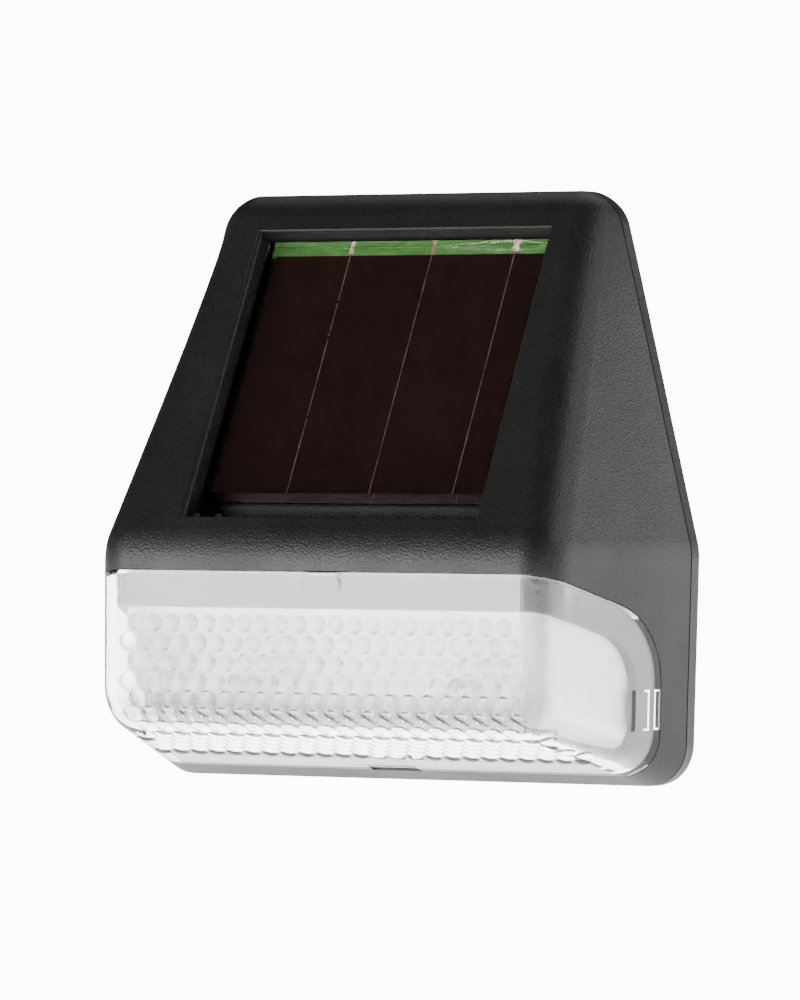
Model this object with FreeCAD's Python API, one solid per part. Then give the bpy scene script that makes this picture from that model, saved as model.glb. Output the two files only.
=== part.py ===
import FreeCAD, Part
import math
import os

# Solar fence light: a wedge-shaped housing with a solar panel in its slanted face, a clear
# lens cap round its lower front, and a flat back cover that lies against the fence.
#
# Millimetres. X runs to the right seen from the front, +Y into the fence and +Z up. The
# origin is the centre of the back face. The functions below place points by x, by depth in
# front of the fence and by height above the bottom edge, and at() turns these into the frame.

V = FreeCAD.Vector

# Body outline
body_height = 87.5
body_depth = 32.0
top_depth = 4.8
slope_foot_height = 34.6
back_half_width_top = 32.9
back_half_width_kink = 45.9
back_half_width_bottom = 45.0
front_half_width = 38.0
slope_half_width_top = 29.7
underside_front_height = 8.2
underside_slope = 0.277
origin_height = 43.5

# Edge radii
side_edge_radius = 6.5
top_edge_radius = 6.5
brow_radius = 13.0
chin_radius = 8.0
kink_radius = 9.0
smallest_radius = 0.6
form_overrun = 3.0
side_run_back = 2.4
side_run_front = 0.07

# Walls and clearances
housing_wall = 2.0
lens_wall = 1.6
lens_gap = 0.2
lip_wall = 1.4
lip_overlap = 3.0
seam_gap = 0.3
fit_gap = 0.3
slip_gap = 0.05

# Lens outline in side view, and the edge of the housing lip behind it
lens_top_height = 31.16
lens_top_fall = 0.298
lens_back_depth = 8.3
lens_back_radius = 12.0
lip_edge_height = 26.7
lip_edge_fall = 0.298
lip_edge_depth = 11.65
lip_edge_radius = 8.5
front_clip_half_width = 3.2
front_clip_bottom = 28.3
front_clip_top = 30.5
side_clip_near = 9.8
side_clip_far = 13.0
side_clip_bottom = 8.5
side_clip_top = 14.4
clip_height = 1.0
clip_skin = 0.5
clip_corner_radius = 0.9
notch_half_width = 4.2
notch_length = 1.7

# Round bumps on the front and underside of the lens
bump_radius = 1.4
bump_height = 0.4
bump_pitch = 3.1
bump_row_pitch = 2.89
bump_under_pitch = 2.6
bump_top_height = 23.5
bump_front_rows = 4
bump_under_rows = 8
bump_side_margin = 5.4

# Back cover
cover_thickness = 2.3
groove_inset = 0.7
groove_width = 1.1
groove_depth = 0.6
locating_rib_height = 1.4
locating_rib_width = 1.2

# Screws that hold the cover
screw_x_top = 30.2
screw_height_top = 70.0
screw_x_bottom = 37.5
screw_height_bottom = 10.0
screw_radius = 1.1
screw_length = 7.0
screw_head_radius = 2.4
screw_head_height = 1.2
screw_sink = 1.5
screw_pad_height = 1.0
screw_pad_radius = 3.6
boss_radius = 2.7
boss_length = 5.8
boss_web_width = 1.6
boss_web_reach = 8.0

# Keyholes that hang the light on two wall screws
keyhole_x = 20.0
keyhole_height = 54.0
keyhole_radius = 4.0
keyhole_slot_radius = 2.1
keyhole_slot_rise = 6.0
pocket_radius = 4.2
pocket_depth = 3.7
pocket_wall = 1.0

# Panel pocket in the slanted face; "up" is measured along the slope from its foot
window_half_width = 25.2
window_low = 4.95
window_high = 53.3
pocket_rim_radius = 0.5
pocket_side_wall = 1.2
pocket_floor = 1.0
panel_sink = 2.6
panel_half_width = 24.4
panel_low = 10.35
panel_high = 52.5
window_side_draft = 0.0875
window_top_draft = 0.115
glass_thickness = 3.2
film_thickness = 0.1
backing_thickness = 0.1
pad_thickness = 0.4
pad_margin = 4.0
floor_high = 49.0
film_margin = 0.8
green_strip = 1.4
scribe_width = 0.2
first_scribe_x = -10.75
scribe_pitch = 14.0
scribe_count = 3
trace_pad_width = 0.7
blob_radius = 0.65
rib_count = 13
rib_pitch = 3.74
rib_width = 1.2
rib_rise = 0.9
rib_depth = 2.4
wire_hole_radius = 1.6
solder_x = 20.6
solder_up = 43.5
solder_radius = 1.1
solder_height = 0.5

# Reflector and light sources
reflector_wall = 1.0
reflector_inset = 3.5
reflector_overlap = 2.0
reflector_front_room = 4.6
reflector_floor_room = 4.8
reflector_chin_room = 5.8
led_x = 18.2
led_height = 12.7
led_radius = 2.5
led_flange_radius = 2.9
led_flange_thickness = 1.0
led_length = 8.6
led_post_radius = 3.7
led_post_length = 8.2
led_leg_spacing = 2.54
led_leg_width = 0.5

# Circuit board
board_half_width = 25.0
board_low = 6.6
board_high = 19.8
board_thickness = 1.6
board_post_length = 1.6
board_post_radius = 2.0
board_screw_x = 7.5
board_screw_height = 8.9
board_screw_radius = 0.9
board_screw_length = 3.6
board_screw_head_radius = 1.7
board_screw_head_height = 1.0
leg_tail = 0.8

# Battery and its holder
battery_radius = 7.25
battery_length = 50.5
battery_tip_radius = 2.75
battery_tip_length = 1.0
battery_height = 39.4
holder_wall = 1.2
holder_gap = 0.3
holder_end_room = 2.2
contact_thickness = 0.3
contact_width = 8.0
contact_bow = 1.0

# Power switch
switch_x = 33.0
switch_height = 23.6
switch_pocket_half_width = 5.6
switch_pocket_half_height = 4.0
switch_pocket_radius = 1.5
switch_pocket_depth = 3.0
switch_floor = 1.2
switch_pocket_wall = 1.2
switch_body_half_width = 4.3
switch_body_half_height = 2.1
switch_body_depth = 3.6
switch_travel = 2.0
slider_half_width = 1.3
slider_half_height = 1.2
slider_reach = 2.6
slider_base_half_width = 1.7
slider_base_half_height = 1.5
slider_base_depth = 1.0
slider_grip_grooves = 3
slider_grip_width = 0.3
slider_grip_depth = 0.25
pin_pitch = 2.5
pin_half_width = 0.3
pin_length = 2.2

# Wires
wire_radius = 0.6
wire_room = 2.5
wire_bend = 2.6
wire_x = 14.6
board_edge_room = 2.4

# Values worked out from the sizes above
slope_run = body_depth - top_depth
slope_rise = body_height - slope_foot_height
slope_angle = math.atan2(slope_run, slope_rise)
slope_length = math.hypot(slope_run, slope_rise)
housing_back = cover_thickness + seam_gap
reflector_back = lip_edge_depth - reflector_overlap
beyond = 60.0


# ---------------------------------------------------------------- placing and basic shapes

def at(x, depth, height):
    """Point by x, depth in front of the fence and height above the bottom edge."""
    return V(x, -depth, height - origin_height)


def block(x_low, x_high, near, far, low, high):
    """Box between two x values, two depths and two heights."""
    corner = at(x_low, far, low)
    return Part.makeBox(x_high - x_low, far - near, high - low, corner)


def rod(x, near, far, height, radius):
    """Cylinder that runs forward from the fence side."""
    return Part.makeCylinder(radius, far - near, at(x, near, height), V(0, -1, 0))


def rounded_wire(points, radii):
    """Closed wire through the points, with an arc at each corner that has a radius."""
    starts = []
    ends = []
    arcs = []
    count = len(points)
    for index in range(count):
        corner = points[index]
        radius = radii[index]
        if radius <= 0:
            starts.append(corner)
            ends.append(corner)
            arcs.append(None)
            continue
        back = (points[index - 1] - corner).normalize()
        ahead = (points[(index + 1) % count] - corner).normalize()
        half = back.getAngle(ahead) / 2
        start = corner + back * (radius / math.tan(half))
        end = corner + ahead * (radius / math.tan(half))
        middle_line = (back + ahead).normalize()
        centre = corner + middle_line * (radius / math.sin(half))
        starts.append(start)
        ends.append(end)
        arcs.append(Part.Arc(start, centre - middle_line * radius, end).toShape())
    edges = []
    for index in range(count):
        if arcs[index] is not None:
            edges.append(arcs[index])
        following = starts[(index + 1) % count]
        if (following - ends[index]).Length > 1e-6:
            edges.append(Part.makeLine(ends[index], following))
    return Part.Wire(edges)


def inner_radius(radius, inset):
    """Radius of an outer edge, seen from a surface that lies inset inside it."""
    return max(radius - inset, smallest_radius)


def side_prism(points, radii, half_width=beyond):
    """Profile of (depth, height) points, carried from left to right."""
    wire = rounded_wire([at(-half_width, depth, height) for depth, height in points], radii)
    return Part.Face(wire).extrude(V(2 * half_width, 0, 0))


def front_prism(points, radii, near, far):
    """Outline of (x, height) points, carried from one depth forward to another."""
    wire = rounded_wire([at(x, near, height) for x, height in points], radii)
    return Part.Face(wire).extrude(V(0, near - far, 0))


def slope_block(x_low, x_high, low, high, top, bottom):
    """Box on the slanted face: low and high run up the slope, top and bottom are depths."""
    box = Part.makeBox(x_high - x_low, high - low, bottom - top, V(x_low, low, -bottom))
    return on_slope(box)


def on_slope(shape):
    """Turns a shape drawn in slope axes (x, up the slope, outward) into the frame."""
    turn = FreeCAD.Rotation(V(1, 0, 0), 90 - math.degrees(slope_angle))
    placement = FreeCAD.Placement(at(0, body_depth, slope_foot_height), turn)
    moved = shape.copy()
    moved.transformShape(placement.toMatrix())
    return moved


def slope_point(x, up, deep):
    """Point on the slanted face, deep below its surface."""
    return at(x,
              body_depth - up * math.sin(slope_angle) - deep * math.cos(slope_angle),
              slope_foot_height + up * math.cos(slope_angle) - deep * math.sin(slope_angle))


def both_sides(shape):
    """The shape and its mirror image, as two solids in one list."""
    return [shape, shape.mirror(V(0, 0, 0), V(1, 0, 0))]


def join(shapes):
    """One solid from several that meet."""
    joined = shapes[0].multiFuse(shapes[1:]) if len(shapes) > 1 else shapes[0]
    return joined.removeSplitter()


# ---------------------------------------------------------------- outer form of the light

def half_width(height, depth):
    """Half width of the body at a depth; straight from the back edge to the front edge."""
    if height > slope_foot_height:
        share = (height - slope_foot_height) / slope_rise
        back = back_half_width_kink + share * (back_half_width_top - back_half_width_kink)
        front = front_half_width + share * (slope_half_width_top - front_half_width)
    else:
        share = height / slope_foot_height
        back = back_half_width_bottom + share * (back_half_width_kink - back_half_width_bottom)
        front = front_half_width
    travel = (depth - cover_thickness) / (front_depth(height) - cover_thickness)
    return back + travel * (front - back)


def front_depth(height):
    """Depth of the slanted face, or of the upright front below it."""
    if height < slope_foot_height:
        return body_depth
    return body_depth - (height - slope_foot_height) * math.tan(slope_angle)


def level_section(height, inset):
    """Level outline of the body, run on in line with its sides past back and front."""
    span = front_depth(height) - cover_thickness
    near = cover_thickness - span * side_run_back
    far = front_depth(height) + span * side_run_front
    back = half_width(height, near)
    front = half_width(height, far)
    narrowing = inset * math.hypot(1, (back - front) / (far - near))
    back -= narrowing
    front -= narrowing
    return rounded_wire([at(-back, near, height), at(back, near, height),
                         at(front, far, height), at(-front, far, height)], [0, 0, 0, 0])


def side_faces(inset):
    """Tall block between the two leaning sides, moved inwards by inset."""
    levels = [-body_height / 8, slope_foot_height, body_height + 1]
    block_form = Part.makeLoft([level_section(level, inset) for level in levels],
                               True, True)
    bends = [edge for edge in block_form.Edges
             if abs(edge.CenterOfMass.z - (slope_foot_height - origin_height)) < 0.1
             and abs(edge.CenterOfMass.x) > front_half_width / 2]
    return block_form.makeFillet(kink_radius, bends)


def offset_outline(points, inset):
    """Corners of a polygon with every side moved inwards by inset."""
    lines = []
    count = len(points)
    for index in range(count):
        start_depth, start_height = points[index]
        end_depth, end_height = points[(index + 1) % count]
        length = math.hypot(end_depth - start_depth, end_height - start_height)
        normal_depth = (start_height - end_height) / length
        normal_height = (end_depth - start_depth) / length
        reach = normal_depth * start_depth + normal_height * start_height + inset
        lines.append((normal_depth, normal_height, reach))
    corners = []
    for index in range(count):
        depth_a, height_a, reach_a = lines[index - 1]
        depth_b, height_b, reach_b = lines[index]
        cross = depth_a * height_b - height_a * depth_b
        corners.append(((reach_a * height_b - height_a * reach_b) / cross,
                        (depth_a * reach_b - reach_a * depth_b) / cross))
    return corners


def profile_block(inset, top):
    """Side view of the wedge up to a top, with its corners rounded, moved in by inset."""
    rear_low = underside_front_height - (body_depth + form_overrun) * underside_slope
    points = [(-form_overrun, rear_low), (body_depth, underside_front_height),
              (body_depth, slope_foot_height), (front_depth(top), top),
              (-form_overrun, top)]
    radii = [0, inner_radius(chin_radius, inset), inner_radius(brow_radius, inset),
             inner_radius(top_edge_radius, inset), 0]
    return side_prism(offset_outline(points, inset), radii)


def side_edges(shape):
    """Edges where a side meets the top, slope, front or underside."""
    kinds = {}
    edges = {}
    for face in shape.Faces:
        u_low, u_high, v_low, v_high = face.ParameterRange
        normal = face.normalAt((u_low + u_high) / 2, (v_low + v_high) / 2)
        kind = "rear" if normal.y > 0.99 else "side" if abs(normal.x) > 0.5 else "profile"
        for edge in face.Edges:
            edges[edge.hashCode()] = edge
            kinds.setdefault(edge.hashCode(), set()).add(kind)
    return [edge for code, edge in edges.items() if kinds[code] == {"side", "profile"}]


def body_form(inset, top=body_height):
    """The whole wedge with rounded edges and every face moved inwards by inset."""
    form = side_faces(inset).common(profile_block(inset, top)).removeSplitter()
    return form.makeFillet(inner_radius(side_edge_radius, inset), side_edges(form))


def lower_form(inset):
    """The form up to just above the brow, for what sits in and behind the lens."""
    return body_form(inset, slope_foot_height + 2 * brow_radius)


def plan_prism(inset, near, far):
    """Outline of the form at the seam, moved inwards by inset, between two depths."""
    wire = body_form(inset).slice(V(0, 1, 0), -housing_back)[0]
    face = Part.Face(wire)
    face.translate(V(0, housing_back - near, 0))
    return face.extrude(V(0, near - far, 0))


def lens_region(growth):
    """Everything below and in front of the lens's upper and rear edge."""
    top = lens_top_height + growth
    back = lens_back_depth - growth
    rear_top = top - (body_depth - back) * lens_top_fall
    points = [(beyond, top + (beyond - body_depth) * lens_top_fall),
              (back, rear_top), (back, -beyond), (beyond, -beyond)]
    return side_prism(points, [0, lens_back_radius + growth, 0, 0])


def lip_window(growth):
    """The space inside the edge of the housing lip, open at the front and below."""
    top = lip_edge_height + growth
    back = lip_edge_depth - growth
    rear_top = top - (body_depth - back) * lip_edge_fall
    points = [(beyond, top + (beyond - body_depth) * lip_edge_fall),
              (back, rear_top), (back, -beyond), (beyond, -beyond)]
    return side_prism(points, [0, lip_edge_radius + growth, 0, 0])


# ---------------------------------------------------------------- housing

def screw_places():
    """(x, height) of the four cover screws."""
    return [(side * x, height)
            for x, height in ((screw_x_top, screw_height_top),
                              (screw_x_bottom, screw_height_bottom))
            for side in (-1, 1)]


def housing_lip():
    """Recessed edge that the lens cap slides over, with its snap teeth."""
    outer_inset = lens_wall + lens_gap
    shell = lower_form(outer_inset).cut(lower_form(outer_inset + lip_wall))
    lip = shell.common(lens_region(lip_overlap)).cut(lip_window(0))
    return [lip] + snap_teeth()


def snap_teeth():
    """One tooth at the front and one on each side, standing in the lens's slots."""
    layer_top = lens_wall + lens_gap - clip_height
    layer = lower_form(layer_top).cut(lower_form(lens_wall + lens_gap + lip_wall / 2))
    front = front_clip(fit_gap)
    side = block(front_half_width / 2, beyond, side_clip_near + fit_gap,
                 side_clip_far - fit_gap, side_clip_bottom + fit_gap,
                 side_clip_top - fit_gap)
    teeth = [layer.common(front)]
    for half in both_sides(side):
        teeth.append(layer.common(half))
    return teeth


def front_clip(inset):
    """Rounded block for the front slot of the lens, made smaller by inset."""
    half = front_clip_half_width - inset
    low = front_clip_bottom + inset
    high = front_clip_top - inset
    radius = clip_corner_radius - inset
    return front_prism([(-half, low), (half, low), (half, high), (-half, high)],
                       [radius] * 4, body_depth - beyond / 10, body_depth + 1)


def panel_pocket():
    """Walls and floor of the tray that takes the solar panel."""
    depth = pocket_depth_at_floor() + pocket_floor
    outer = slope_block(-window_half_width - pocket_side_wall,
                        window_half_width + pocket_side_wall,
                        window_low - pocket_side_wall, window_high + pocket_side_wall,
                        housing_wall / 2, depth)
    return outer


def pocket_depth_at_floor():
    """Depth of the pocket's floor below the slanted face."""
    return panel_sink + glass_thickness + film_thickness + backing_thickness + pad_thickness


def window_room(shrink=0.0):
    """Room inside the panel pocket, narrower towards its floor, open to the front."""
    outlines = []
    for deep in (-1.0, pocket_depth_at_floor()):
        half = window_half_width - deep * window_side_draft - shrink
        high = window_high - deep * window_top_draft - shrink
        corners = [V(-half, window_low, -deep), V(half, window_low, -deep),
                   V(half, high, -deep), V(-half, high, -deep)]
        outlines.append(rounded_wire(corners, [0, 0, 0, 0]))
    return on_slope(Part.makeLoft(outlines, True, True))


def pocket_space():
    """What is cut from the pocket block: the room, its open upper back and two holes."""
    floor = pocket_depth_at_floor()
    half = window_half_width - floor * window_side_draft
    high = window_high - floor * window_top_draft
    open_back = slope_block(-half, half, floor_high, high, 0, floor + 2 * pocket_floor)
    return [window_room(), open_back] + [wire_hole(side) for side in (-1, 1)]


def wire_hole(side):
    """Hole in the pocket floor behind one solder joint."""
    floor = pocket_depth_at_floor()
    hole = Part.makeCylinder(wire_hole_radius, 3 * pocket_floor,
                             V(side * solder_x, solder_up, -floor - 2 * pocket_floor))
    return on_slope(hole)


def window_ribs():
    """Short round-topped ribs along the lower edge of the window."""
    ribs = []
    for index in range(rib_count):
        x = (index - (rib_count - 1) / 2) * rib_pitch
        points = [V(x - rib_width / 2, window_low - 0.2, -rib_depth),
                  V(x + rib_width / 2, window_low - 0.2, -rib_depth),
                  V(x + rib_width / 2, window_low + rib_rise, -rib_depth),
                  V(x - rib_width / 2, window_low + rib_rise, -rib_depth)]
        top = rib_width * 0.45
        wire = rounded_wire(points, [0, 0, top, top])
        ribs.append(on_slope(Part.Face(wire).extrude(V(0, 0, rib_depth - pocket_rim_radius))))
    return ribs


def housing():
    """Moulded wedge: thin walls, panel pocket, lens lip with teeth, and screw bosses."""
    outside = body_form(0)
    behind = block(-beyond, beyond, -beyond, housing_back, -beyond, 2 * body_height)
    shell = outside.cut(body_form(housing_wall)).cut(lens_region(lens_gap))
    added = [panel_pocket().common(outside)] + housing_lip()
    bosses = []
    for x, height in screw_places():
        bosses.append(rod(x, housing_back, housing_back + screw_pad_height + boss_length,
                          height, boss_radius))
        web_near = cover_thickness + locating_rib_height + fit_gap
        web_end = x + math.copysign(boss_web_reach, x)
        bosses.append(block(min(x, web_end), max(x, web_end), web_near,
                            lens_back_depth - boss_web_width,
                            height - boss_web_width / 2, height + boss_web_width / 2))
    added += [boss.common(outside) for boss in bosses]
    solid = join([shell] + added)
    tools = pocket_space()
    tools.append(behind)
    for x, height in screw_places():
        tools.append(rod(x, 0, cover_thickness + screw_pad_height + fit_gap,
                         height, screw_pad_radius + fit_gap))
        tools.append(rod(x, 0, screw_sink + screw_length + 0.5, height, screw_radius))
    solid = solid.cut(Part.Compound(tools))
    return join([solid] + window_ribs())


# ---------------------------------------------------------------- back cover and its screws

def keyhole_shape(x, round_radius, slot_radius, near, far):
    """Round entry with a slot that rises from it."""
    entry = rod(x, near, far, keyhole_height, round_radius)
    slot = block(x - slot_radius, x + slot_radius, near, far,
                 keyhole_height, keyhole_height + keyhole_slot_rise)
    end = rod(x, near, far, keyhole_height + keyhole_slot_rise, slot_radius)
    return join([entry, slot, end])


def keyhole_pocket(x, grow, near, far):
    """Long rounded space in which the head of a wall screw slides up."""
    return keyhole_shape(x, pocket_radius + grow, pocket_radius + grow, near, far)


def switch_recess(grow, near, far):
    """Rounded rectangle of the switch pocket."""
    half_w = switch_pocket_half_width + grow
    half_h = switch_pocket_half_height + grow
    points = [(switch_x - half_w, switch_height - half_h),
              (switch_x + half_w, switch_height - half_h),
              (switch_x + half_w, switch_height + half_h),
              (switch_x - half_w, switch_height + half_h)]
    return front_prism(points, [switch_pocket_radius + grow] * 4, near, far)


def back_cover():
    """Flat plate with a seal groove, keyholes in blind pockets and the switch pocket."""
    plate = plan_prism(0, 0, cover_thickness)
    groove = plan_prism(groove_inset, cover_thickness - groove_depth, cover_thickness + 1)
    groove = groove.cut(plan_prism(groove_inset + groove_width, 0, cover_thickness + 2))
    rib_inset = housing_wall + fit_gap
    rib = plan_prism(rib_inset, cover_thickness, cover_thickness + locating_rib_height)
    rib = rib.cut(plan_prism(rib_inset + locating_rib_width, 0, cover_thickness + beyond / 10))
    added = [plate.cut(groove)]
    for x, height in screw_places():
        added.append(rod(x, 0.5, cover_thickness + screw_pad_height, height,
                         screw_pad_radius))
    for side in (-1, 1):
        added.append(keyhole_pocket(side * keyhole_x, pocket_wall, 0.5,
                                    cover_thickness + pocket_depth + pocket_wall))
    added.append(switch_recess(switch_pocket_wall, 0.5, switch_pocket_depth + switch_floor))
    cover = join(added)
    tools = []
    for x, height in screw_places():
        tools.append(rod(x, -1, screw_sink, height, screw_head_radius + fit_gap))
        tools.append(rod(x, -1, cover_thickness + beyond / 10, height,
                         screw_radius + fit_gap))
    for side in (-1, 1):
        x = side * keyhole_x
        tools.append(keyhole_shape(x, keyhole_radius, keyhole_slot_radius, -1,
                                   cover_thickness + 1))
        tools.append(keyhole_pocket(x, 0, cover_thickness, cover_thickness + pocket_depth))
    tools.append(switch_recess(0, -1, switch_pocket_depth))
    slot_half = slider_half_width + fit_gap
    tools.append(block(switch_x - slot_half - switch_travel / 2,
                       switch_x + slot_half + switch_travel / 2,
                       0, switch_pocket_depth + switch_floor + 1,
                       switch_height - slider_half_height - fit_gap,
                       switch_height + slider_half_height + fit_gap))
    return cover.cut(Part.Compound(tools))


def cover_seal():
    """Soft cord in the cover's groove, pressed by the rear edge of the housing."""
    near = cover_thickness - groove_depth
    outer = plan_prism(groove_inset + slip_gap, near, housing_back)
    return outer.cut(plan_prism(groove_inset + groove_width - slip_gap, near - 1,
                                housing_back + 1))


def cover_screw(x, height):
    """Pan head screw with a cross recess."""
    seat = screw_sink
    head = rod(x, seat - screw_head_height, seat, height, screw_head_radius)
    shank = rod(x, seat, seat + screw_length, height, screw_radius - slip_gap)
    screw = join([head, shank])
    arm = screw_head_radius * 0.6
    blade = screw_head_radius * 0.13
    near = seat - screw_head_height - 0.1
    far = seat - screw_head_height / 2
    cross = [block(x - arm, x + arm, near, far, height - blade, height + blade),
             block(x - blade, x + blade, near, far, height - arm, height + arm)]
    return screw.cut(Part.Compound(cross))


def cover_screws():
    """The four screws of the back cover."""
    return Part.Compound([cover_screw(x, height) for x, height in screw_places()])


# ---------------------------------------------------------------- lens and reflector

def lens():
    """Clear cap that closes the lower front, sides and underside."""
    shell = lower_form(0).cut(lower_form(lens_wall)).common(lens_region(0))
    side = block(front_half_width / 2, beyond, side_clip_near, side_clip_far,
                 side_clip_bottom, side_clip_top)
    inside = lower_form(clip_skin)
    tools = [inside.common(clip) for clip in [front_clip(0)] + both_sides(side)]
    tools.append(block(-notch_half_width, notch_half_width, 0,
                       lens_back_depth + notch_length, -1,
                       underside_height(lens_back_depth) + lens_wall * 2))
    return shell.cut(Part.Compound(tools)).fuse(bumps())


def front_line(travel):
    """Place and direction on the lens's front line, travel below the start of the chin.

    Gives depth, height and the outward direction as depth and height parts.
    """
    turn = math.pi / 2 - math.atan(underside_slope)
    start = underside_front_height + chin_radius * math.tan(turn / 2)
    if travel <= 0:
        return body_depth, start - travel, 1.0, 0.0
    angle = min(travel / chin_radius, turn)
    depth = body_depth - chin_radius + chin_radius * math.cos(angle)
    height = start - chin_radius * math.sin(angle)
    rest = travel - angle * chin_radius
    return (depth - rest * math.sin(angle), height - rest * math.cos(angle),
            math.cos(angle), -math.sin(angle))


def bump_rows():
    """Travel of each row of bumps below the start of the chin."""
    chin_start = front_line(0)[1]
    rows = [chin_start - bump_top_height + row * bump_row_pitch
            for row in range(bump_front_rows)]
    rows += [rows[-1] + (row + 1) * bump_under_pitch for row in range(bump_under_rows)]
    return rows


def bumps():
    """Staggered rows of low round bumps, wider apart where the lens widens."""
    ball = (bump_radius ** 2 + bump_height ** 2) / (2 * bump_height)
    rim = math.degrees(math.acos(bump_radius / ball)) - 3
    domes = []
    for row, travel in enumerate(bump_rows()):
        depth, height, out_depth, out_height = front_line(travel)
        reach = half_width(height, depth) - bump_side_margin
        shift = (row % 2) / 2
        last = int(reach / bump_pitch - shift)
        for column in range(-last - row % 2, last + 1):
            x = (column + shift) * bump_pitch
            centre = at(x, depth - out_depth * (ball - bump_height),
                        height - out_height * (ball - bump_height))
            domes.append(Part.makeSphere(ball, centre, V(0, -out_depth, out_height),
                                         rim, 90))
    return Part.Compound(domes)


def underside_height(depth):
    """Height of the underside at a depth."""
    return underside_front_height - (body_depth - depth) * underside_slope


def reflector():
    """White tray, open towards the front and below, with two lamp posts on its rear wall."""
    outside = lip_window(reflector_overlap).common(lower_form(reflector_inset))
    hollow = lip_window(reflector_overlap - reflector_wall)
    hollow = hollow.common(lower_form(reflector_inset + reflector_wall))
    tray = outside.cut(hollow).cut(front_opening())
    back = reflector_back
    added = [tray]
    for side in (-1, 1):
        added.append(rod(side * led_x, back, back + reflector_wall + led_post_length,
                         led_height, led_post_radius))
        added.append(rod(side * board_screw_x, back - board_post_length, back + 0.5,
                         board_screw_height, board_post_radius))
    tray = join(added)
    tools = []
    for side in (-1, 1):
        x = side * led_x
        tools.append(rod(x, back - 1, led_seat_depth(), led_height,
                         led_flange_radius + slip_gap))
        tools.append(rod(x, back - 1, back + beyond / 2, led_height,
                         led_radius + slip_gap))
        tools.append(rod(side * board_screw_x, back - board_post_length - 1,
                         back + reflector_wall * 0.6, board_screw_height,
                         board_screw_radius))
    return tray.cut(Part.Compound(tools))


def front_opening():
    """Block that takes the front wall and the floor off the reflector."""
    front = block(-beyond, beyond, body_depth - reflector_front_room, beyond, -beyond, beyond)
    corners = [(reflector_back + reflector_wall, -beyond), (beyond, -beyond),
               (beyond, underside_height(beyond) + reflector_floor_room),
               (reflector_back + reflector_wall,
                underside_height(reflector_back + reflector_wall) + reflector_floor_room)]
    chin = block(-beyond, beyond, body_depth - chin_radius, beyond,
                 -beyond, underside_front_height + reflector_chin_room)
    return front.multiFuse([side_prism(corners, [0, 0, 0, 0]), chin])


def led_seat_depth():
    """Depth of the shoulder in the lamp post that the flange rests on."""
    return reflector_back + led_post_length


# ---------------------------------------------------------------- solar panel

def solar_glass():
    """Thick glass plate of the solar panel."""
    return slope_block(-panel_half_width, panel_half_width, panel_low, panel_high,
                       panel_sink, panel_sink + glass_thickness)


def film_limits():
    """Left, right, low and high edge of the dark film on the glass."""
    half = panel_half_width - film_margin
    return -half, half, panel_low + film_margin, panel_high - green_strip


def solar_cells():
    """Strips of dark film on the back of the glass, parted by scribe lines."""
    left, right, low, high = film_limits()
    top = panel_sink + glass_thickness
    cuts = [first_scribe_x + index * scribe_pitch for index in range(scribe_count)]
    starts = [left] + [cut + scribe_width / 2 for cut in cuts]
    ends = [cut - scribe_width / 2 for cut in cuts] + [right]
    return Part.Compound([slope_block(start, end, low, high, top, top + film_thickness)
                          for start, end in zip(starts, ends)])


def trace_pads():
    """Wider ends of the traces in the top margin, the last with a round blob."""
    left, right, low, high = film_limits()
    top = panel_sink + glass_thickness
    half = trace_pad_width / 2
    pads = []
    for index in range(scribe_count):
        x = first_scribe_x + index * scribe_pitch
        pads.append(slope_block(x - half, x + half, high, panel_high, top,
                                top + film_thickness))
    middle = (high + panel_high) / 2
    blob = Part.makeCylinder(blob_radius, film_thickness, V(x, middle, -top - film_thickness))
    pads.append(on_slope(blob))
    return pads


def cell_scribes():
    """Thin metal traces in the gaps between the strips, with their ends in the margin."""
    left, right, low, high = film_limits()
    top = panel_sink + glass_thickness
    lines = []
    for index in range(scribe_count):
        x = first_scribe_x + index * scribe_pitch
        lines.append(slope_block(x - scribe_width / 2, x + scribe_width / 2, low,
                                 high, top, top + film_thickness))
    return join(lines + trace_pads())


def panel_backing():
    """Paint layer behind the film, which shows as a strip above it."""
    left, right, low, high = film_limits()
    half = panel_half_width
    top = panel_sink + glass_thickness
    sheet = slope_block(-half, half, panel_low, panel_high,
                        top + film_thickness, top + film_thickness + backing_thickness)
    strip = slope_block(-half, half, high, panel_high, top, top + film_thickness)
    return join([sheet, strip.cut(Part.Compound(trace_pads()))])


def panel_pad():
    """Adhesive foam between the panel and the floor of its pocket."""
    half = panel_half_width - pad_margin
    floor = pocket_depth_at_floor()
    pad = slope_block(-half, half, panel_low + 1, solder_up - wire_hole_radius - 1,
                      floor - pad_thickness, floor)
    return pad


def panel_sealant():
    """Bead of clear sealant between each long side of the glass and the pocket wall."""
    top = panel_sink + glass_thickness * 0.3
    bottom = panel_sink + glass_thickness
    strip = slope_block(panel_half_width, window_half_width, panel_low, panel_high, top, bottom)
    return Part.Compound([window_room().common(bead) for bead in both_sides(strip)])


def solder_joint(side):
    """Round joint on the back of the panel, where a wire starts."""
    deep = panel_sink + glass_thickness + film_thickness + backing_thickness
    drop = Part.makeCone(solder_radius, solder_radius * 0.7, solder_height,
                         V(side * solder_x, solder_up, -deep), V(0, 0, -1))
    return on_slope(drop)


def panel_solder():
    """The two solder joints of the panel."""
    return Part.Compound([solder_joint(side) for side in (-1, 1)])


# ---------------------------------------------------------------- circuit board

def board_front():
    """Depth of the board's front face."""
    return reflector_back - board_post_length


def board_back():
    """Depth of the board's rear face."""
    return board_front() - board_thickness


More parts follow.
